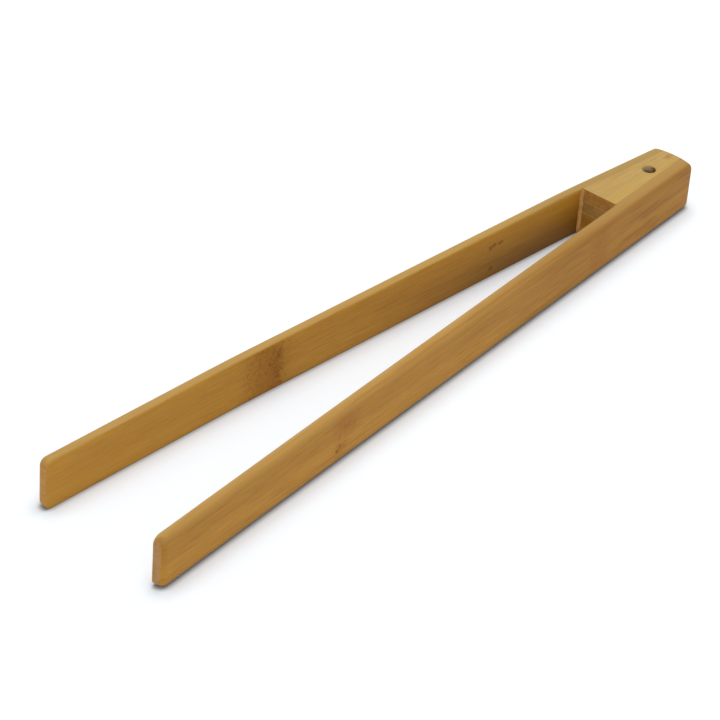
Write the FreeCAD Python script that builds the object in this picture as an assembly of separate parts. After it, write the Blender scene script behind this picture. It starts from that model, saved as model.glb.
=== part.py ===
"""Bamboo print tongs: two springy strips, standing on edge, glued to the sides of a laminated wedge block.

The origin is the middle of the hanging hole at half height. +X points to the tips, +Y to the left arm, +Z up.
"""
import FreeCAD, Part
import math
import os
from FreeCAD import Vector

# Driving dimensions, in millimetres and degrees.
height = 18.6
butt_x = -16.8  # rearmost point of the tongs
block_front_x = 28.8  # the block ends here and the arms come free
outer_front_half_width = 12.55  # half the width over both arms, at the block's front
wedge_half_angle = 4.7
glue_film = 0.15

hole_radius = 2.5
hole_rim_ease = 0.3

left_reach = 257.0  # free length of the left arm
left_root_thickness = 5.55
left_tip_thickness = 4.35

right_thickness = 4.35
right_bend = (14.0, -1.75)  # length and turn of the inward bend just ahead of the block
right_straight = 148.0
right_node_bend = (20.0, -1.4)  # length and turn of the slight inward bend at the growth node
right_end = 72.2

butt_crown_radius = 26.0  # the butt end is rounded, seen from above
butt_corner_radius = 2.5
long_edge_radius = 2.3
tip_top_radius = 3.0
tip_bottom_radius = 2.6
lamina_heights = (2.4, 6.3, 4.6)  # from the bottom up; the top lamina takes what is left
left_bead = 0.8  # legs of the squeezed-out glue in the corners of block and arms
right_bead = 0.9
bead_hollow = 0.36  # how far the bead's face stands out of the corner, as a share of its legs
bead_drop = 0.3  # the beads stop short of the top and bottom faces

hinge_ahead = 47.0  # an arm flexes about here, measured ahead of the block
knuckle_radius = 6.0
knuckle_clearance = 0.05

overrun = 20.0  # cutting shapes reach this far past what they cut
sweep = 60.0  # and this far to either side
tiny = 1e-6  # two lengths or directions closer than this are the same
half_height = height / 2
wedge = math.radians(wedge_half_angle)


def outer_y(x):
    """Distance from the middle plane to the outer faces of the arms, at x along the block."""
    return outer_front_half_width + (x - block_front_x) * math.tan(wedge)


def inner_y(x, thickness):
    """Distance from the middle plane to the face this far inside the outer one, at x along the block."""
    return outer_y(x) - thickness / math.cos(wedge)


def walk(segments, offset=0.0):
    """A line along a strip on the +Y side, from behind the butt: its edges, and its points.

    Each segment is (length, turn in degrees). The line lies this offset inside the strip's outer face.
    """
    x = butt_x - overrun
    y = outer_y(x)
    heading = wedge
    edges = []
    points = []

    def shifted():
        return Vector(x + offset * math.sin(heading), y - offset * math.cos(heading), 0)

    points.append(shifted())
    for length, turn in segments:
        if turn == 0:
            x += length * math.cos(heading)
            y += length * math.sin(heading)
            points.append(shifted())
            edges.append(Part.makeLine(points[-2], points[-1]))
            continue
        radius = length / math.radians(turn)
        centre_x = x - radius * math.sin(heading)
        centre_y = y + radius * math.cos(heading)
        halfway = []
        for _ in range(2):
            heading += math.radians(turn) / 2
            x = centre_x + radius * math.sin(heading)
            y = centre_y - radius * math.cos(heading)
            halfway.append(shifted())
        points.append(halfway[1])
        edges.append(Part.Arc(points[-2], *halfway).toShape())
    return edges, points


def prism(edges, bottom=-half_height, top=half_height):
    """Solid over a closed outline in the XY plane."""
    face = Part.Face(Part.Wire(Part.sortEdges(edges)[0]))
    face.translate(Vector(0, 0, bottom))
    return face.extrude(Vector(0, 0, top - bottom))


def polygon(corners):
    """Edges of a closed outline through (x, y) corners."""
    points = [Vector(x, y, 0) for x, y in corners]
    return [Part.makeLine(a, b) for a, b in zip(points, points[1:] + points[:1])]


def strip(inner_segments, outer_segments, thickness):
    """One bamboo strip on the +Y side, square-ended, running on behind the butt."""
    inner_edges, inner_points = walk(inner_segments, thickness)
    outer_edges, outer_points = walk(outer_segments)
    rear = Part.makeLine(inner_points[0], outer_points[0])
    tip = Part.makeLine(inner_points[-1], outer_points[-1])
    return prism(inner_edges + outer_edges + [rear, tip])


def mirrored(shape):
    """The same shape on the other side of the middle plane."""
    return shape.mirror(Vector(0, 0, 0), Vector(0, 1, 0))


def taper_turn(length):
    """Turn of the left arm's inner face, in degrees, over a length ahead of the block.

    The face curves towards the outer face, so that the arm thins to its tip thickness.
    """
    loss = left_root_thickness - left_tip_thickness
    return math.degrees(2 * loss * length / left_reach**2)


def glued_run():
    """Length of a strip from its overlong rear end to the front of the block."""
    return (block_front_x - butt_x + overrun) / math.cos(wedge)


def wedge_prism(left_depth, right_depth, bottom=-half_height, top=half_height):
    """Solid behind the block's front, between faces at these depths inside the arms' outer faces."""
    rear_x = butt_x - overrun
    corners = [
        (rear_x, -inner_y(rear_x, right_depth)),
        (block_front_x, -inner_y(block_front_x, right_depth)),
        (block_front_x, inner_y(block_front_x, left_depth)),
        (rear_x, inner_y(rear_x, left_depth)),
    ]
    return prism(polygon(corners), bottom, top)


def region_ahead(x, y, radius):
    """Everything ahead of a place, with a round of this radius bulging backwards from it."""
    bulge = Part.makeCylinder(radius, height, Vector(x, y, -half_height))
    ahead = Part.makeBox(
        left_reach + overrun, 2 * sweep, height, Vector(x, -sweep, -half_height)
    )
    return bulge.fuse(ahead)


def level_edges(solid, wanted):
    """Top and bottom edges of upright faces, where wanted(place, outward direction) holds."""
    found = []
    for face in solid.Faces:
        for edge in face.Edges:
            middle = edge.valueAt((edge.FirstParameter + edge.LastParameter) / 2)
            outward = face.normalAt(*face.Surface.parameter(middle))
            level = abs(abs(middle.z) - half_height) < tiny and abs(outward.z) < tiny
            if level and wanted(middle, outward):
                found.append(edge)
    return found


def rounded(solid):
    """The glued-up tongs with sanded corners and edges.

    Directions are unit vectors: a tip's end faces almost along +X, and the butt end almost along -X.
    """
    corners = [
        edge
        for edge in solid.Edges
        if edge.BoundBox.XMax < block_front_x - overrun and edge.BoundBox.ZLength > height - tiny
    ]
    solid = solid.makeFillet(butt_corner_radius, corners)
    for side, radius in ((1, tip_top_radius), (-1, tip_bottom_radius)):
        ends = level_edges(
            solid, lambda place, outward: outward.x > 0.9 and place.x > left_reach / 2 and place.z * side > 0
        )
        solid = solid.makeFillet(radius, ends)
    outer = level_edges(solid, lambda place, outward: outward.y * place.y > 0 or outward.x < -0.5)
    return solid.makeFillet(long_edge_radius, outer)


def parted(arm, hinge):
    """An arm's fixed root and its flexing blade, which meet in a round knuckle."""
    blade_region = region_ahead(hinge.x, hinge.y, knuckle_radius)
    cut_from_root = region_ahead(hinge.x, hinge.y, knuckle_radius + knuckle_clearance)
    return arm.cut(cut_from_root), arm.common(blade_region)


def bored(shape):
    """A shape with the hanging hole drilled through and its rims eased."""
    drill = Part.makeCylinder(hole_radius, height, Vector(0, 0, -half_height))
    for side in (1, -1):
        countersink = Part.makeCone(
            hole_radius,
            hole_radius + hole_rim_ease,
            hole_rim_ease,
            Vector(0, 0, side * (half_height - hole_rim_ease)),
            Vector(0, 0, side),
        )
        drill = drill.fuse(countersink)
    return shape.cut(drill)


def bead(size, arm, thickness):
    """Dried glue in the corner between the block's front and an arm on the +Y side, hollow-faced."""
    corner = Vector(block_front_x, inner_y(block_front_x, thickness), 0)
    along = corner + Vector(size, 0, 0)
    across = corner - Vector(0, size, 0)
    hollow = corner + Vector(size, -size, 0) * bead_hollow
    behind = corner + Vector(0, glue_film, 0)
    beyond = along + Vector(0, 2 * glue_film, 0)
    edges = [
        Part.Arc(across, hollow, along).toShape(),
        Part.makeLine(along, beyond),
        Part.makeLine(beyond, behind),
        Part.makeLine(behind, across),
    ]
    return prism(edges, -half_height + bead_drop, half_height - bead_drop).cut(arm)


def layers():
    """Name, bottom and top of each lamina of the block and of each glue line between them."""
    names = ("bottom_lamina", "lower_middle_lamina", "upper_middle_lamina", "top_lamina")
    glue_names = ("lower_glue_line", "middle_glue_line", "upper_glue_line")
    found = []
    bottom = -half_height
    for index, name in enumerate(names):
        last = index == len(names) - 1
        top = half_height if last else bottom + lamina_heights[index]
        found.append((name, bottom, top))
        if not last:
            found.append((glue_names[index], top, top + glue_film))
            bottom = top + glue_film
    return found


left_inner = [(glued_run(), 0), (left_reach, taper_turn(left_reach))]
left_outer = [(glued_run() + left_reach, 0)]
right_path = [(glued_run(), 0), right_bend, (right_straight, 0), right_node_bend, (right_end, 0)]
left_strip = strip(left_inner, left_outer, left_root_thickness)
right_strip = mirrored(strip(right_path, right_path, right_thickness))

between_arms = wedge_prism(left_root_thickness, right_thickness)
butt_round = region_ahead(butt_x + butt_crown_radius, 0, butt_crown_radius)
glued_up = between_arms.fuse([left_strip, right_strip]).common(butt_round).removeSplitter()
whole = rounded(glued_up)

left_hinge = walk([(glued_run() + hinge_ahead, 0)], left_root_thickness / 2)[1][-1]
right_hinge = walk(
    [(glued_run(), 0), right_bend, (hinge_ahead - right_bend[0], 0)], right_thickness / 2
)[1][-1]
right_hinge.y = -right_hinge.y
left_root, left_blade = parted(whole.common(left_strip), left_hinge)
right_root, right_blade = parted(whole.common(right_strip), right_hinge)

left_block_depth = left_root_thickness + glue_film
right_block_depth = right_thickness + glue_film
film_left = whole.common(between_arms.cut(wedge_prism(left_block_depth, right_thickness)))
film_right = whole.common(between_arms.cut(wedge_prism(left_root_thickness, right_block_depth)))
bead_left = bead(left_bead, left_strip, left_root_thickness)
bead_right = mirrored(bead(right_bead, mirrored(right_strip), right_thickness))

parts = {
    "left_arm_root": left_root,
    "left_arm_blade": left_blade,
    "right_arm_root": right_root,
    "right_arm_blade": right_blade,
    "left_arm_glue": film_left.fuse(bead_left).removeSplitter(),
    "right_arm_glue": film_right.fuse(bead_right).removeSplitter(),
}
for layer_name, layer_bottom, layer_top in layers():
    layer = wedge_prism(left_block_depth, right_block_depth, layer_bottom, layer_top)
    parts[layer_name] = bored(whole.common(layer))

os.makedirs("parts", exist_ok=True)
for node, shape in parts.items():
    shape.exportStep(f"parts/{node}.step")
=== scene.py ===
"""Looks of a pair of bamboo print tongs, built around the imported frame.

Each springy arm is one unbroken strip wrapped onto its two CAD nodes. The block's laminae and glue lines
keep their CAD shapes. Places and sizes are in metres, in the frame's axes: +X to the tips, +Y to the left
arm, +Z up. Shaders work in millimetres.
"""
import math

import bpy
from mathutils import Matrix, Vector
from mathutils.bvhtree import BVHTree


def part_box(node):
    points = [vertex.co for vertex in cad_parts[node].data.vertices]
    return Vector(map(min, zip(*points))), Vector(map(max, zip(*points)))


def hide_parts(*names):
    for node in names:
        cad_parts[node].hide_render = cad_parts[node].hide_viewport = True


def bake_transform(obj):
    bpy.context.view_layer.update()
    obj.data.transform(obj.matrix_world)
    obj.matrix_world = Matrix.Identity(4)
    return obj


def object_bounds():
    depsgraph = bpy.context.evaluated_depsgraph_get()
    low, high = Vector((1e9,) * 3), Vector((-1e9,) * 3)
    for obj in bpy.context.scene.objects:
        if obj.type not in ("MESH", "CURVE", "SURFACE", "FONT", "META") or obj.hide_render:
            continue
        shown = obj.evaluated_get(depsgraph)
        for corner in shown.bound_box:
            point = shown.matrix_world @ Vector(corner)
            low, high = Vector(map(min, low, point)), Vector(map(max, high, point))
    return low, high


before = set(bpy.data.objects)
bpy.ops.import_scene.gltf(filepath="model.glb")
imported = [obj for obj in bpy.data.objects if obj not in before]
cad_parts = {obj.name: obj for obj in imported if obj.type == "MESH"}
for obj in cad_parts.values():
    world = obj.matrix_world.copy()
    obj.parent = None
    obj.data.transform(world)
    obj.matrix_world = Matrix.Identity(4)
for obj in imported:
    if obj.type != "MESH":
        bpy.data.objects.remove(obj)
cad_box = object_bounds()

MM = 0.001
UP = Vector((0, 0, 1))

# The strips.
station_pitch = 3 * MM
end_zone = 4.5 * MM  # stations crowd together this close to either end of a strip
end_stations = 14
upright_points = 17
across_points = 9
inner_ease = 0.4 * MM  # the inner edges are rounded over by this much
right_top_ease = 1.3 * MM  # and the right strip's inner top edge by this much
hit_margin = 0.002 * MM  # an end station stands this far inside the strip's end
end_reach = 2 * MM  # points this close to an end give a first guess of the strip's middle there
far = 60 * MM  # rays start this far outside a strip
facing_tip = 0.99  # a tip's end face points this nearly along +X

# The studio.
floor_size = 6.0
floor_clear = (0.83, 0.875, 0.92, 1)
floor_painted_shadow = (0.46, 0.485, 0.51, 1)
contact_reach = 2.5 * MM  # painted contact shadow darkens the floor this close under the tongs
contact_open = (0.4, 0.95)  # how open the floor is where it is darkest, and where it is clear
world_strength = 0.78
lamp_energy = 8.3  # watts
lamp_size = 0.8
lamp_place = (0.0, -0.08, 1.15)
lamp_target = (0.13, 0, 0)

# The camera, in the frame's axes. Angles are in degrees, and the lens and sensor in millimetres.
camera_place = (0.814542, 0.534324, 0.577853)
camera_yaw = -140.86
camera_pitch = -34.37
camera_roll = 4.46
camera_lens = 153.91
camera_sensor = 36.0
camera_shift = (0.00076, 0.00101)
camera_near = 0.05


# --- Colours and zones of the wood --------------------------------------------------------------------


def linear(red, green, blue):
    """A colour given as 0 to 255 display values, as the linear colour shaders use."""
    return tuple(((value / 255 + 0.055) / 1.055) ** 2.4 for value in (red, green, blue)) + (1,)


grain_depth = 0.05 * MM  # the relief of the fibres
strip_half = 2.3  # half a strip's thickness in its grain, in millimetres
satin_specular = 0.15
arm_roughness = 0.46
block_roughness = 0.48
glue_roughness = 0.45
fibre_roughness = 0.2  # fine fibres add up to this much

# Strengths of looks, from 0 to 1. On all bamboo:
fibre_strength = 0.45
pore_strength = 0.3
end_cloud_strength = 0.3
end_dot_strength = 0.4
# On both strips:
# The next two: painted shade low down and painted light higher up on the sides near the block.
shade_strength = 0.75
painted_light_strength = 0.6
node_strength = 0.8
vein_strength = 0.55
smudge_strength = 0.6
# Painted shade on the rounded outer edges:
turned_shade_strength = 0.8
rear_top_strength = 0.8
amber_strength = 0.4
top_fibre_strength = 0.3
# On the block:
block_thread_strength = 0.3
block_line_strength = 0.45
block_amber_strength = 0.5
block_red_strength = 0.55

# Which way a face looks, as its direction's part along one axis, from 0 for square to it to 1 for straight
# along it. A look starts at the first and is full from the second.
outward_faces = (-0.1, 0.1)  # along Y, away from the other strip
cut_faces = (0.75, 0.9)  # along X
glue_tops = (0.5, 0.8)  # along Z
bore_walls = (0.2, 0.4)  # along Z: full up to the first, and gone from the second
turned_edges = (0.7, 0.65)  # along Z: middle and half width of the painted shade on the rounded outer edges
level_inner = 0.45  # along Z: where the inner side of a strip turns into its top
level_outer = 0.9  # and the outer side
level_soft = 0.1

# Zones along a strip, in millimetres ahead of the hanging hole. Middle and half length:
scratch_zone = (95.0, 62.0)
brown_top_zone = (75.0, 65.0)
# Full up to the first, and gone from the second:
rear_zone = (60.0, 105.0)
# Near the block, where the sides get painted shade and painted light:
painted_shade_and_light_zone = (35.0, 150.0)
rear_top_zone = (25.0, 85.0)
# Starting at the first, and full from the second:
golden_zone = (185.0, 215.0)
turned_zone = (50.0, 130.0)
outside_zone = (160.0, 230.0)
# The same up a strip, in millimetres above its middle. Starting at the first, and full from the second:
dull_heights = (-1.5, 2.5)
# Painted light higher up the sides near the block:
painted_light_heights = (-4.0, 8.0)
# Full up to the first, and gone from the second:
# Painted shade low down the sides near the block:
shade_heights = (-8.0, 6.0)

# How raggedly looks end, in millimetres from one extreme to the other.
dull_ragged = 5.0
rear_ragged = 20.0
node_ragged = (10.0, 8.0)  # along X and along Z
amber_ragged = 6.0
red_ragged = 4.0

# Across a strip's top, from -1 inside to 1 outside.
top_ragged = 0.8
middle_zone = (-0.9, -0.1)  # starting at the first, and full from the second
outside_soft = 0.6

# A smudge's edge, as a squared distance in its half sizes: full up to the first, and gone from the second.
smudge_edge = (0.1, 1.1)
smudge_ragged = 2.4

top_amber = linear(172, 117, 52)
top_brown = linear(129, 87, 31)

# How each strip differs. Plain numbers are strengths from 0 to 1, apart from outside_from and outside_later.
# wood: pale, middle and deep. The golden colour is the tip's tone and also painted light high up the sides
# near the block, where the shade colour is painted shade low down, both laid on with one strength. turned:
# painted shade on the rounded outer edges, near the block and further out. top: from the inside out, the
# outside one being painted shade towards the rounded outer edge, then near the block. outside_from: where
# across the top its outside colour starts, from -1 inside to 1 outside. outside_later: how much further out
# that is near the tip. nodes: middle and half length along X, middle and half height along Z, and strength.
# smudges: middle along X and Z, half length, half height.
arm_looks = {
    "left": {
        "wood": (linear(188, 136, 52), linear(184, 131, 49), linear(124, 78, 24)),
        "gold_tone_and_painted_light": linear(190, 138, 48),
        "golden_tip": 0.0,
        "threads": 0.35,
        "scratches": 0.6,
        "streaks": 0.45,
        "dull": linear(144, 96, 26),
        "dull_upper_half": 0.3,
        "dull_rear": 0.42,
        "shade": linear(90, 58, 14),
        "painted_shade_and_light": 0.0,
        "turned": (linear(138, 98, 48), linear(156, 118, 60)),
        "top": (linear(174, 139, 80), linear(168, 128, 60), linear(150, 104, 40), linear(156, 122, 64)),
        "brown_top": 0.35,
        "outside_from": -0.2,
        "outside_later": 0.4,
        "node_brown": linear(150, 84, 22),
        "node_vein": linear(112, 62, 12),
        "nodes": (
            (46.0, 9.0, 2.0, 16.0, 0.4),
            (194.0, 10.0, 5.5, 10.0, 0.5),
            (196.5, 5.0, -4.0, 6.0, 0.4),
        ),
        "smudge_brown": linear(100, 54, 4),
        "smudges": ((198.3, -4.1, 1.0, 0.9), (197.0, -2.9, 0.8, 0.7)),
        "end": linear(178, 132, 80),
        "end_dots": linear(141, 95, 42),
    },
    "right": {
        "wood": (linear(189, 139, 50), linear(182, 130, 44), linear(131, 83, 24)),
        "gold_tone_and_painted_light": linear(198, 146, 54),
        "golden_tip": 0.2,
        "threads": 0.3,
        "scratches": 0.15,
        "streaks": 0.1,
        "dull": linear(144, 96, 34),
        "dull_upper_half": 0.0,
        "dull_rear": 0.0,
        "shade": linear(84, 52, 10),
        "painted_shade_and_light": 0.9,
        "turned": (linear(160, 128, 68), linear(164, 130, 66)),
        "top": (linear(175, 136, 70), linear(170, 135, 72), linear(136, 116, 54), linear(156, 129, 74)),
        "brown_top": 0.0,
        "outside_from": 0.2,
        "outside_later": 0.0,
        "node_brown": linear(146, 91, 2),
        "node_vein": linear(98, 56, 0),
        "nodes": (
            (186.0, 15.0, 0.0, 40.0, 0.74),
            (181.2, 5.0, -3.0, 18.0, 0.8),
        ),
        "smudge_brown": linear(100, 54, 4),
        "smudges": (
            (76.6, 3.2, 1.6, 1.1),
            (74.6, 3.6, 1.3, 1.0),
            (71.6, 3.5, 1.7, 0.8),
            (75.8, -5.7, 1.5, 1.0),
        ),
        "end": linear(183, 134, 69),
        "end_dots": linear(146, 97, 39),
    },
}

# The block, in millimetres from the hanging hole's axis or below the block's top.
block_wood = (linear(176, 145, 84), linear(170, 136, 78), linear(139, 107, 52))
block_amber = linear(177, 142, 71)
amber_zone = (-1.0, 4.0)  # along Y: starts here, and full from here
block_red = linear(151, 94, 48)
red_patch = ((-12.3, 3.2), (-0.6, 2.6))  # middle and half size, along X and along Y
# The hanging hole: painted light on its wall near the rim, and painted shade deeper in and towards its left
# rear.
bore_painted_light = linear(214, 186, 142)
bore_painted_shade = linear(128, 90, 50)
bore_zone = (2.7, 3.0)  # out from the axis: full up to here, and gone from here
bore_depths = (1.2, 3.4)  # the painted shade starts at the first and is full at the second
bore_rear_zone = (0.5, 3.4)  # and the same towards the left rear of the bore
end_dots = linear(116, 78, 30)
lamina_ends = {
    "bottom_lamina": linear(200, 145, 79),
    "lower_middle_lamina": linear(176, 124, 44),
    "upper_middle_lamina": linear(172, 133, 70),
    "top_lamina": linear(180, 128, 61),
}

glue_pale = linear(220, 174, 106)
glue_tan = linear(200, 150, 88)
glue_edge = linear(160, 118, 58)


# --- Arms ---------------------------------------------------------------------------------------------


def drop(distance, radius):
    """How far a quarter round of this radius has fallen away, this near to its end."""
    if distance >= radius:
        return 0.0
    return radius - math.sqrt(radius**2 - (radius - distance) ** 2)


def average(places):
    """The middle of some points, seen from above, at half height."""
    middle_x = sum(place.x for place in places) / len(places)
    middle_y = sum(place.y for place in places) / len(places)
    return Vector((middle_x, middle_y, 0))


class StripSurface:
    """The outer surface of one arm, made of its two CAD nodes, seen along the arm's own directions."""

    def __init__(self, side):
        self.side = side
        nodes = [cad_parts[f"{side}_arm_{part}"] for part in ("root", "blade")]
        places = []
        faces = []
        for node in nodes:
            first = len(places)
            places += [vertex.co.copy() for vertex in node.data.vertices]
            faces += [[first + index for index in face.vertices] for face in node.data.polygons]
        self.tree = BVHTree.FromPolygons(places, faces)
        tip = max(
            (face for face in nodes[1].data.polygons if face.normal.x > facing_tip),
            key=lambda face: face.area,
        )
        outward = 1 if side == "left" else -1
        self.along = Vector((tip.normal.x, tip.normal.y, 0)).normalized()
        self.across = outward * Vector((-self.along.y, self.along.x, 0))
        self.start = min(place @ self.along for place in places) + hit_margin
        self.end = tip.center @ self.along - hit_margin
        self.guess = [average(end) for end in self.ends(places)]

    def ends(self, places):
        """The points near the butt end, and those near the tip."""
        butt = [place for place in places if place @ self.along < self.start + end_reach]
        tip = [place for place in places if place @ self.along > self.end - end_reach]
        return butt, tip

    def hit(self, target, direction):
        """Where the surface is first met by a ray that comes in from outside and goes through the target."""
        place = self.tree.ray_cast(target - direction * far, direction)[0]
        return target if place is None else place

    def station(self, distance):
        """Middle of the strip, half its thickness and its bottom and top, this far along it."""
        share = (distance - self.start) / (self.end - self.start)
        rough = self.guess[0].lerp(self.guess[1], share)
        rough += self.along * (distance - rough @ self.along)
        inner = self.hit(rough, self.across)
        outer = self.hit(rough, -self.across)
        middle = (inner + outer) / 2
        top = self.hit(middle, -UP).z
        bottom = self.hit(middle, UP).z
        return middle, (outer - inner).length / 2, bottom, top


def stations(surface):
    """Distances along a strip, close together near both of its ends."""
    crowded = [end_zone * (count / end_stations) ** 2 for count in range(end_stations)]
    middle_length = surface.end - surface.start - 2 * end_zone
    steps = round(middle_length / station_pitch)
    found = [surface.start + distance for distance in crowded]
    found += [surface.start + end_zone + middle_length * step / steps for step in range(steps + 1)]
    found += [surface.end - distance for distance in reversed(crowded)]
    return found


def crowded_shares(count):
    """This many numbers from -1 to 1, close together near both ends."""
    return [math.sin(math.pi * (index / (count - 1) - 0.5)) for index in range(count)]


def perimeter():
    """Points round a square from -1 to 1, close together near its corners, from the inner lower one."""
    uprights = crowded_shares(upright_points)
    levels = crowded_shares(across_points)
    points = [(-1, height) for height in uprights[:-1]]
    points += [(across, 1) for across in levels[:-1]]
    points += [(1, -height) for height in uprights[:-1]]
    points += [(-across, -1) for across in levels[:-1]]
    return points


def ring(surface, distance, eased):
    """One closed loop of points round a strip, and how far across it each lies: -1 inside, 1 outside."""
    middle, half, bottom, top = surface.station(distance)
    centre = Vector((middle.x, middle.y, (top + bottom) / 2))
    tall = (top - bottom) / 2
    spine = max(tall - half, 0)
    top_ease = right_top_ease if surface.side == "right" else inner_ease
    inner_limit = drop(surface.end - distance, inner_ease) - half
    points = []
    shares = []
    for across_share, up_share in perimeter():
        height = up_share * tall
        on_spine = max(-spine, min(spine, height))
        outline = surface.across * across_share * half + UP * (height - on_spine)
        offset = surface.hit(centre + UP * on_spine, -outline.normalized()) - centre
        height = offset.z
        across = max(offset @ surface.across, inner_limit)
        if eased:
            ease = top_ease if height > 0 else inner_ease
            across, height = ease_corner(across, height, inner_limit, tall, ease)
        points.append(centre + UP * height + surface.across * across)
        shares.append(across / half)
    return points, shares


def ease_corner(across, height, inner_limit, tall, ease):
    """A point of a strip's section, pulled in where it lies outside the rounded inner edge."""
    corner_across = inner_limit + ease
    corner_height = tall - ease
    if across >= corner_across or abs(height) <= corner_height:
        return across, height
    slant = Vector((across - corner_across, abs(height) - corner_height))
    if slant.length > ease:
        slant *= ease / slant.length
    return corner_across + slant.x, math.copysign(corner_height + slant.y, height)


def arm(side, block_front):
    """One bamboo strip, from the butt to its tip, as a closed mesh."""
    surface = StripSurface(side)
    rings = []
    for distance in stations(surface):
        free = surface.station(distance)[0].x > block_front
        rings.append(ring(surface, distance, free))
    round_count = len(rings[0][0])
    places = [place for points, shares in rings for place in points]
    across = [share for points, shares in rings for share in shares]
    faces = []
    for row in range(len(rings) - 1):
        for column in range(round_count):
            after = (column + 1) % round_count
            low = row * round_count
            high = low + round_count
            faces.append((low + column, high + column, high + after, low + after))
    faces.append(tuple(range(round_count)))
    faces.append(tuple(reversed(range(len(places) - round_count, len(places)))))
    mesh = bpy.data.meshes.new(f"{side}_arm")
    mesh.from_pydata(places, [], faces)
    if side == "right":
        mesh.flip_normals()  # its rings run the other way round
    mesh.shade_smooth()
    piece = bpy.data.objects.new(f"{side}_arm_strip", mesh)
    bpy.context.scene.collection.objects.link(piece)
    store_rest(mesh, across)
    evened = piece.modifiers.new("even shading", "WEIGHTED_NORMAL")
    evened.keep_sharp = True
    return piece


def store_rest(mesh, across):
    """Keeps each point's place and direction at rest, so that the grain stays put when an arm bends."""
    mesh.update()
    place = mesh.attributes.new("rest", "FLOAT_VECTOR", "POINT")
    place.data.foreach_set("vector", [number for vertex in mesh.vertices for number in vertex.co])
    facing = mesh.attributes.new("rest_facing", "FLOAT_VECTOR", "POINT")
    facing.data.foreach_set("vector", [number for vertex in mesh.vertices for number in vertex.normal])
    girth = mesh.attributes.new("across", "FLOAT", "POINT")
    girth.data.foreach_set("value", across)


# --- Shading kit --------------------------------------------------------------------------------------


class Shader:
    """A material's node tree, with short ways to add nodes and join them up."""

    def __init__(self, name):
        self.material = bpy.data.materials.new(name)
        self.material.use_nodes = True
        self.tree = self.material.node_tree
        self.tree.nodes.clear()

    def add(self, kind, inputs, output=0, **settings):
        """A node of this kind; inputs are numbers, colours or other nodes' outputs."""
        node = self.tree.nodes.new("ShaderNode" + kind)
        for key, value in settings.items():
            setattr(node, key, value)
        for key, value in inputs.items():
            if isinstance(value, bpy.types.NodeSocket):
                self.tree.links.new(value, node.inputs[key])
            else:
                node.inputs[key].default_value = value
        return node.outputs[output] if node.outputs else None

    def maths(self, operation, first, second=0.0):
        """A sum, product or other function of one value or of two."""
        return self.add("Math", {0: first, 1: second}, operation=operation)

    def times(self, *values):
        """The product of several values."""
        product = values[0]
        for value in values[1:]:
            product = self.maths("MULTIPLY", product, value)
        return product

    def split(self, vector):
        """The three parts of a vector."""
        node = self.tree.nodes.new("ShaderNodeSeparateXYZ")
        self.tree.links.new(vector, node.inputs[0])
        return tuple(node.outputs)

    def spread(self, vector, along, across, up):
        """A vector with each of its parts scaled."""
        return self.add("VectorMath", {0: vector, 1: (along, across, up)}, operation="MULTIPLY")

    def scaled(self, vector, scale):
        """A vector made longer or shorter."""
        return self.add("VectorMath", {0: vector, "Scale": scale}, operation="SCALE")

    def noise(self, vector, scale=1.0, detail=3.0, roughness=0.55, distortion=0.0):
        """Cloudy noise from 0 to 1, mostly near 0.5."""
        return self.add(
            "TexNoise",
            {
                "Vector": vector,
                "Scale": scale,
                "Detail": detail,
                "Roughness": roughness,
                "Distortion": distortion,
            },
        )

    def rise(self, value, low, high):
        """Goes smoothly from 0 at the low value to 1 at the high one."""
        return self.add(
            "MapRange", {"Value": value, 1: low, 2: high, 3: 0.0, 4: 1.0}, interpolation_type="SMOOTHSTEP"
        )

    def fall(self, value, full, gone):
        """Goes smoothly from 1 at the lower value, full, to 0 at the higher one, gone."""
        return self.rise(self.times(value, -1.0), -gone, -full)

    def hill(self, value, middle, half):
        """1 at the middle value, falling to 0 this far from it on either side."""
        away = self.maths("DIVIDE", self.maths("SUBTRACT", value, middle), half)
        return self.fall(self.maths("ABSOLUTE", away), 0.0, 1.0)

    def wobble(self, value, noise, reach):
        """A value pushed up to half this reach either way by a noise."""
        return self.maths("ADD", value, self.times(self.maths("SUBTRACT", noise, 0.5), reach))

    def blend(self, share, first, second):
        """Mixes this share of the second colour into the first."""
        return self.add("Mix", {0: share, 6: first, 7: second}, output=2, data_type="RGBA")

    def finish(self, colour, roughness, height):
        """Satin surface with this colour, roughness and relief."""
        bump = self.add("Bump", {"Height": height, "Strength": 1.0, "Distance": grain_depth})
        surface = self.add(
            "BsdfPrincipled",
            {
                "Base Color": colour,
                "Roughness": roughness,
                "Normal": bump,
                "Specular IOR Level": satin_specular,
            },
        )
        self.add("OutputMaterial", {"Surface": surface})
        return self.material


def rest_place(shader, stored):
    """A point's place in millimetres and its direction, as stored on a strip or straight off a CAD node."""
    if stored:
        place = shader.add("Attribute", {}, output=1, attribute_name="rest")
        facing = shader.add("Attribute", {}, output=1, attribute_name="rest_facing")
    else:
        place = shader.add("TexCoord", {}, output=3)
        facing = shader.add("NewGeometry", {}, output=1)
    return shader.scaled(place, 1 / MM), facing


def dress(piece, material):
    """Makes this the piece's only material."""
    piece.data.materials.clear()
    piece.data.materials.append(material)


# --- Bamboo and glue ----------------------------------------------------------------------------------
# A place is spread by waves per millimetre along X, Y and Z before a noise reads it. The two numbers that
# a rise or a fall has after a noise say where its patches begin and where they are full.


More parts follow.
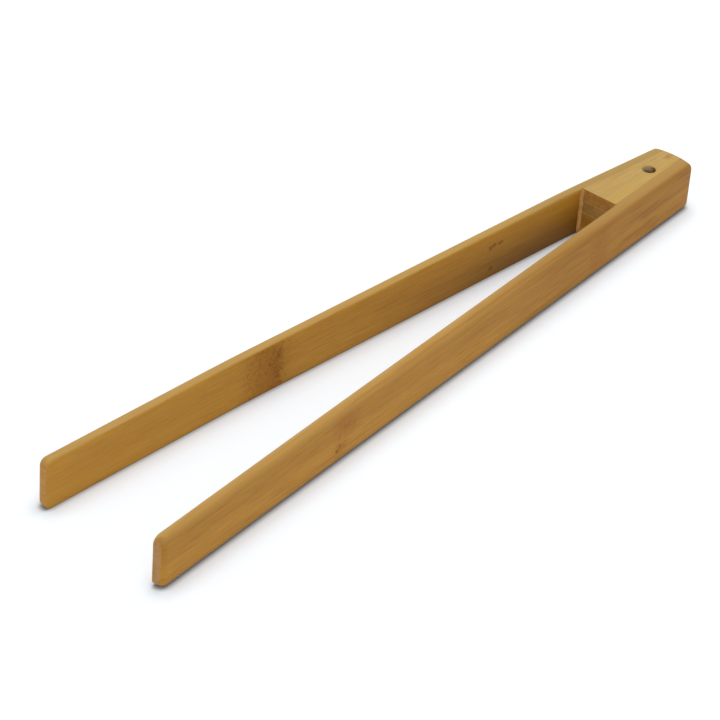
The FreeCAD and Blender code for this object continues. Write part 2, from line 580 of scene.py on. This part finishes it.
def fibres(shader, place, colours, thread_share):
    """Bamboo grain along X: broad bands, fine fibres and dark threads. Gives colour and relief."""
    pale, middle, deep = colours
    broad = shader.noise(shader.spread(place, 0.012, 0.16, 0.16), detail=4)
    fine = shader.noise(shader.spread(place, 0.06, 2.6, 2.6), detail=5, roughness=0.7)
    threads = shader.noise(shader.spread(place, 0.05, 3.2, 3.2), detail=2, roughness=0.5)
    pores = shader.noise(shader.spread(place, 0.6, 4.0, 4.0), detail=2)
    colour = shader.blend(shader.rise(broad, 0.3, 0.7), pale, middle)
    colour = shader.blend(shader.times(shader.rise(fine, 0.4, 0.75), fibre_strength), colour, deep)
    dark = shader.times(shader.rise(threads, 0.55, 0.64), thread_share)
    colour = shader.blend(dark, colour, deep)
    fleck = shader.times(shader.rise(pores, 0.58, 0.72), pore_strength)
    return shader.blend(fleck, colour, deep), fine, dark


def cut_ends(shader, colour, place, facing_x, ground, dots):
    """A wood's colour, with a speckle of small dark fibre bundles where it is cut across the grain."""
    flat = shader.spread(place, 0.0, 1.0, 1.0)
    cells = shader.add("TexVoronoi", {"Vector": flat, "Scale": 1.4, "Randomness": 0.85})
    cloudy = shader.noise(flat, scale=0.45, detail=4)
    dotted = shader.times(shader.fall(cells, 0.2, 0.4), shader.rise(cloudy, 0.3, 0.6), end_dot_strength)
    clouded = shader.times(shader.rise(cloudy, 0.4, 0.65), end_cloud_strength)
    end_grain = shader.blend(dotted, shader.blend(clouded, ground, dots), dots)
    ends = shader.rise(shader.maths("ABSOLUTE", facing_x), *cut_faces)
    return shader.blend(ends, colour, end_grain)


def cracks(shader, place):
    """Thin wandering upright lines, as on a growth node of bamboo."""
    sway = shader.add("TexNoise", {"Vector": place, "Scale": 0.5, "Detail": 3.0}, output=1)
    swayed = shader.add("VectorMath", {0: place, 1: shader.scaled(sway, 2.2)}, operation="ADD")
    cells = shader.add(
        "TexVoronoi",
        {"Vector": shader.spread(swayed, 0.65, 0.65, 0.6), "Scale": 1.0},
        feature="DISTANCE_TO_EDGE",
    )
    return shader.fall(cells, 0.0, 0.16)


def smudge(shader, x, z, noise, mark):
    """A small dark mark in the grain: its middle, and its half length and half height."""
    middle_x, middle_z, half_x, half_z = mark
    along = shader.maths("DIVIDE", shader.maths("SUBTRACT", x, middle_x), half_x)
    up = shader.maths("DIVIDE", shader.maths("SUBTRACT", z, middle_z), half_z)
    away = shader.maths("ADD", shader.times(along, along), shader.times(up, up))
    return shader.fall(shader.wobble(away, noise, smudge_ragged), *smudge_edge)


def side_wood(shader, look, grain, x, z, blotch):
    """A strip's upright faces: grain and scratches, duller stretches, a golden tip, and near the block
    painted shade low down and painted light higher up.
    """
    colour, fine, dark = fibres(shader, grain, look["wood"], look["threads"])
    deep = look["wood"][2]
    lines = shader.noise(shader.spread(grain, 0.03, 3.4, 3.4), detail=1, roughness=0.4)
    scratch = shader.times(shader.hill(x, *scratch_zone), shader.rise(lines, 0.52, 0.6), look["scratches"])
    colour = shader.blend(scratch, colour, deep)
    dull = shader.rise(shader.wobble(z, blotch, dull_ragged), *dull_heights)
    colour = shader.blend(shader.times(dull, look["dull_upper_half"]), colour, look["dull"])
    rear = shader.fall(shader.wobble(x, blotch, rear_ragged), *rear_zone)
    colour = shader.blend(shader.times(rear, look["dull_rear"]), colour, look["dull"])
    streaks = shader.noise(shader.spread(grain, 0.035, 0.45, 0.45), detail=4, distortion=0.4)
    streak = shader.times(shader.rise(streaks, 0.5, 0.66), rear, look["streaks"])
    colour = shader.blend(streak, colour, deep)
    # Painted light and shade near the block: darker low down, lighter higher up.
    painted_near_block = shader.times(shader.fall(x, *painted_shade_and_light_zone), look["painted_shade_and_light"])
    low = shader.fall(z, *shade_heights)
    colour = shader.blend(shader.times(painted_near_block, low, shade_strength), colour, look["shade"])
    high = shader.rise(z, *painted_light_heights)
    colour = shader.blend(shader.times(painted_near_block, high, painted_light_strength), colour, look["gold_tone_and_painted_light"])
    forward = shader.times(shader.rise(x, *golden_zone), look["golden_tip"])
    return shader.blend(forward, colour, look["gold_tone_and_painted_light"]), fine, dark


def growth_marks(shader, look, colour, place, x, z, blotch, upright):
    """A strip's upright faces with their growth nodes, brown and finely cracked, and small dark marks."""
    crackle = cracks(shader, place)
    patchy = shader.rise(shader.noise(shader.spread(place, 0.6, 0.6, 0.6), detail=2), 0.4, 0.62)
    grit = shader.noise(shader.spread(place, 1.8, 1.8, 1.8), detail=3)
    for middle_x, half_x, middle_z, half_z, strength in look["nodes"]:
        reach = shader.times(
            shader.hill(shader.wobble(x, blotch, node_ragged[0]), middle_x, half_x),
            shader.hill(shader.wobble(z, blotch, node_ragged[1]), middle_z, half_z),
        )
        haze = shader.times(reach, upright, strength)
        colour = shader.blend(shader.times(haze, node_strength), colour, look["node_brown"])
        veins = shader.times(shader.rise(reach, 0.03, 0.5), crackle, patchy, upright, strength)
        colour = shader.blend(shader.times(veins, vein_strength), colour, look["node_vein"])
    for mark in look["smudges"]:
        spot = smudge(shader, x, z, grit, mark)
        colour = shader.blend(shader.times(spot, upright, smudge_strength), colour, look["smudge_brown"])
    return colour


def level_wood(shader, look, grain, x, across, fine):
    """A strip's top and bottom, with the wood's tones side by side from the inside out and painted shade
    towards the rounded outer edge.
    """
    streaky = shader.noise(shader.spread(grain, 0.05, 0.7, 0.7), detail=4)
    inside, middle, outside, rear = look["top"]
    wavy = shader.wobble(across, streaky, top_ragged)
    top = shader.blend(shader.rise(wavy, *middle_zone), inside, middle)
    later = shader.times(shader.rise(x, *outside_zone), look["outside_later"])
    outer = shader.maths("SUBTRACT", wavy, later)
    outer = shader.rise(outer, look["outside_from"], look["outside_from"] + outside_soft)
    # Painted shade: the outside colour darkens the top towards its rounded outer edge.
    top = shader.blend(outer, top, outside)
    top = shader.blend(shader.times(shader.fall(x, *rear_top_zone), rear_top_strength), top, rear)
    top = shader.blend(shader.times(shader.rise(streaky, 0.55, 0.7), amber_strength), top, top_amber)
    top = shader.blend(shader.times(shader.hill(x, *brown_top_zone), look["brown_top"]), top, top_brown)
    return shader.blend(shader.times(shader.rise(fine, 0.45, 0.75), top_fibre_strength), top, top_brown)


def arm_bamboo(side):
    """Caramel bamboo of a strip: its sides, painted shade on its turned outer edges, its top and bottom and
    its ends.
    """
    shader = Shader(f"{side}_arm_bamboo")
    look = arm_looks[side]
    place, facing = rest_place(shader, stored=True)
    x, _, z = shader.split(place)
    facing_x, facing_y, facing_z = shader.split(facing)
    across = shader.add("Attribute", {}, output=2, attribute_name="across")
    grain = shader.add("CombineXYZ", {0: x, 1: shader.times(across, strip_half), 2: z})
    blotch = shader.spread(place, 0.22, 0.4, 0.4)
    blotch = shader.noise(blotch, detail=6, roughness=0.65, distortion=0.6)

    outward = shader.rise(shader.times(facing_y, 1.0 if side == "left" else -1.0), *outward_faces)
    slope = shader.maths("ABSOLUTE", facing_z)
    level_from = shader.maths("ADD", level_inner, shader.times(outward, level_outer - level_inner))
    level = shader.rise(shader.maths("SUBTRACT", slope, level_from), 0.0, level_soft)
    upright = shader.maths("SUBTRACT", 1.0, level)

    colour, fine, dark = side_wood(shader, look, grain, x, z, blotch)
    colour = growth_marks(shader, look, colour, place, x, z, blotch, upright)
    # Painted shade: the rounded outer edges are darkened by the way they face.
    turned = shader.times(shader.hill(slope, *turned_edges), outward, turned_shade_strength)
    turned_shade_colour = shader.blend(shader.rise(x, *turned_zone), *look["turned"])
    colour = shader.blend(turned, colour, turned_shade_colour)
    colour = shader.blend(level, colour, level_wood(shader, look, grain, x, across, fine))
    colour = cut_ends(shader, colour, place, facing_x, look["end"], look["end_dots"])
    roughness = shader.maths("ADD", arm_roughness, shader.times(fine, fibre_roughness))
    return shader.finish(colour, roughness, shader.maths("SUBTRACT", fine, dark))


def bore_wood(shader, colour, x, y, z, facing_z):
    """The block's wood, with painted light on the hanging hole's wall at its front rim and painted shade
    further in.
    """
    from_axis = shader.maths("ADD", shader.times(x, x), shader.times(y, y))
    from_axis = shader.maths("POWER", from_axis, 0.5)
    walls = shader.fall(shader.maths("ABSOLUTE", facing_z), *bore_walls)
    bore = shader.times(shader.fall(from_axis, *bore_zone), walls)
    block_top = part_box("top_lamina")[1].z / MM
    brown_from, brown_full = bore_depths
    deep = shader.fall(z, block_top - brown_full, block_top - brown_from)
    rearward = shader.rise(shader.maths("SUBTRACT", y, x), *bore_rear_zone)
    # Painted light at the bore's rim, painted shade deeper in and towards its left rear.
    bore_colour = shader.blend(shader.maths("MAXIMUM", deep, rearward), bore_painted_light, bore_painted_shade)
    return shader.blend(bore, colour, bore_colour)


def block_bamboo(name, end_colour):
    """Paler laminated bamboo of one lamina, with its own tone on the cut ends and painted light and shade in
    the bore.
    """
    shader = Shader(f"{name}_bamboo")
    place, facing = rest_place(shader, stored=False)
    x, y, z = shader.split(place)
    facing_x, _, facing_z = shader.split(facing)
    colour, fine, dark = fibres(shader, place, block_wood, block_thread_strength)
    line_noise = shader.noise(shader.spread(place, 0.02, 1.1, 1.1), detail=1)
    line = shader.times(shader.hill(line_noise, 0.5, 0.012), block_line_strength)
    colour = shader.blend(line, colour, block_wood[2])
    amber = shader.rise(shader.wobble(y, fine, amber_ragged), *amber_zone)
    colour = shader.blend(shader.times(amber, block_amber_strength), colour, block_amber)
    cloudy = shader.noise(shader.spread(place, 0.5, 0.5, 0.5), detail=4)
    along, sideways = red_patch
    reddish = shader.times(
        shader.hill(shader.wobble(x, cloudy, red_ragged), *along),
        shader.hill(shader.wobble(y, cloudy, red_ragged), *sideways),
        block_red_strength,
    )
    colour = shader.blend(reddish, colour, block_red)
    colour = cut_ends(shader, colour, place, facing_x, end_colour, end_dots)
    colour = bore_wood(shader, colour, x, y, z, facing_z)
    roughness = shader.maths("ADD", block_roughness, shader.times(fine, fibre_roughness))
    return shader.finish(colour, roughness, shader.maths("SUBTRACT", fine, dark))


def dried_glue():
    """Tan wood glue, browner on its level faces."""
    shader = Shader("dried_glue")
    place, facing = rest_place(shader, stored=False)
    level = shader.rise(shader.maths("ABSOLUTE", shader.split(facing)[2]), *glue_tops)
    cloudy = shader.noise(place, scale=0.6, detail=4)
    colour = shader.blend(shader.rise(cloudy, 0.35, 0.65), glue_pale, glue_tan)
    colour = shader.blend(level, colour, glue_edge)
    return shader.finish(colour, glue_roughness, cloudy)


def dress_block():
    """Gives every lamina and glue line of the block its material."""
    for node, end_colour in lamina_ends.items():
        dress(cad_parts[node], block_bamboo(node, end_colour))
    glue = dried_glue()
    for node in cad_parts:
        if node.endswith("_glue") or node.endswith("_glue_line"):
            dress(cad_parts[node], glue)


# --- Studio -------------------------------------------------------------------------------------------


def floor(level):
    """A wide pale plane under the tongs, with a painted contact shadow close to them."""
    mesh = bpy.data.meshes.new("floor")
    half = floor_size / 2
    corners = [(-half, -half, level), (half, -half, level), (half, half, level), (-half, half, level)]
    mesh.from_pydata(corners, [], [(0, 1, 2, 3)])
    piece = bpy.data.objects.new("floor", mesh)
    bpy.context.scene.collection.objects.link(piece)
    shader = Shader("floor_white")
    # Painted contact shadow: the floor's colour turns darker where ambient occlusion finds the tongs close.
    clear = shader.add("AmbientOcclusion", {"Distance": contact_reach}, output=1)
    colour = shader.blend(shader.rise(clear, *contact_open), floor_painted_shadow, floor_clear)
    surface = shader.add("BsdfDiffuse", {"Color": colour})
    shader.add("OutputMaterial", {"Surface": surface})
    dress(piece, shader.material)


def lights():
    """White surroundings and one broad soft light overhead."""
    world = bpy.data.worlds.new("studio")
    bpy.context.scene.world = world
    world.use_nodes = True
    background = world.node_tree.nodes["Background"]
    background.inputs["Color"].default_value = (1, 1, 1, 1)
    background.inputs["Strength"].default_value = world_strength
    light = bpy.data.lights.new("overhead", "AREA")
    light.shape = "SQUARE"
    light.size = lamp_size
    light.energy = lamp_energy
    lamp = bpy.data.objects.new("overhead", light)
    lamp.location = lamp_place
    aim = Vector(lamp_target) - lamp.location
    lamp.rotation_euler = aim.to_track_quat("-Z", "Y").to_euler()
    bpy.context.scene.collection.objects.link(lamp)


def camera():
    """The viewing camera, turned by yaw about +Z, then pitch, then roll."""
    yaw, pitch, roll = (math.radians(angle) for angle in (camera_yaw, camera_pitch, camera_roll))
    forward = Vector((math.cos(pitch) * math.cos(yaw), math.cos(pitch) * math.sin(yaw), math.sin(pitch)))
    level = forward.cross(UP).normalized()
    upright = level.cross(forward)
    right = level * math.cos(roll) + upright * math.sin(roll)
    above = upright * math.cos(roll) - level * math.sin(roll)
    data = bpy.data.cameras.new("camera")
    data.lens = camera_lens
    data.sensor_width = camera_sensor
    data.shift_x, data.shift_y = camera_shift
    data.clip_start = camera_near
    eye = bpy.data.objects.new("camera", data)
    turn = Matrix((right, above, -forward)).transposed()
    eye.matrix_world = Matrix.Translation(camera_place) @ turn.to_4x4()
    bpy.context.scene.collection.objects.link(eye)
    bpy.context.scene.camera = eye


# --- Putting it together ------------------------------------------------------------------------------

block_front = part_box("top_lamina")[1].x
for side in ("left", "right"):
    strip = arm(side, block_front)
    dress(strip, arm_bamboo(side))
    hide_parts(f"{side}_arm_root", f"{side}_arm_blade")
    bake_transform(strip)
dress_block()
floor(cad_box[0][2])
lights()
camera()
bpy.context.scene.view_settings.view_transform = "Standard"
